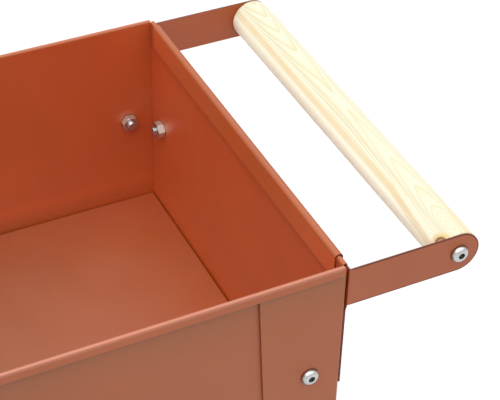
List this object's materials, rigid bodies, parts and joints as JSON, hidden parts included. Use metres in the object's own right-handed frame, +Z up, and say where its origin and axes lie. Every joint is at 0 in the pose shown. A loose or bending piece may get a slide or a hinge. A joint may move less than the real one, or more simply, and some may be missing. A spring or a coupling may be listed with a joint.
{
  "type": "elevated planter",
  "caption": "Long sheet-metal planting box on tapering angle legs, with a wooden carrying handle on folded brackets at each end.",
  "frame": {"origin": "on the ground, under the middle of the box: the bottom centre of the bounding box", "axes": "+X along the box towards the right handle, +Y towards the back panel, +Z up"},
  "size_m": [0.9748, 0.3628, 0.7994],
  "materials": {
    "painted_steel": "terracotta powder coat, satin",
    "handle_wood": "bare sanded pine",
    "bolt_steel": "bright zinc plate",
    "insert_brass": "plain",
    "foot_plastic": "moulded, fine grain"
  },
  "bodies": {
    "root": {"front_panel": "painted_steel", "back_panel": "painted_steel", "end_panel_right": "painted_steel", "end_panel_left": "painted_steel", "floor_tray": "painted_steel", "floor_stiffener_right": "painted_steel", "floor_stiffener_left": "painted_steel", "leg_front_right": "painted_steel", "leg_front_left": "painted_steel", "leg_back_right": "painted_steel", "leg_back_left": "painted_steel", "foot_cap_front_right": "foot_plastic", "foot_cap_front_left": "foot_plastic", "foot_cap_back_right": "foot_plastic", "foot_cap_back_left": "foot_plastic", "handle_bracket_right": "painted_steel", "handle_bracket_left": "painted_steel", "handle_dowel_right": "handle_wood", "handle_dowel_left": "handle_wood", "dowel_insert_front_right": "insert_brass", "dowel_insert_front_left": "insert_brass", "dowel_insert_back_right": "insert_brass", "dowel_insert_back_left": "insert_brass", "handle_bolt_front_right": "bolt_steel", "handle_bolt_front_left": "bolt_steel", "handle_bolt_back_right": "bolt_steel", "handle_bolt_back_left": "bolt_steel", "side_bolt_front_right": "bolt_steel", "side_bolt_front_left": "bolt_steel", "side_bolt_back_right": "bolt_steel", "side_bolt_back_left": "bolt_steel", "side_nut_front_right": "bolt_steel", "side_nut_front_left": "bolt_steel", "side_nut_back_right": "bolt_steel", "side_nut_back_left": "bolt_steel", "end_bolt_front_right": "bolt_steel", "end_bolt_front_left": "bolt_steel", "end_bolt_back_right": "bolt_steel", "end_bolt_back_left": "bolt_steel", "end_nut_front_right": "bolt_steel", "end_nut_front_left": "bolt_steel", "end_nut_back_right": "bolt_steel", "end_nut_back_left": "bolt_steel"}
  },
  "joints": []
}
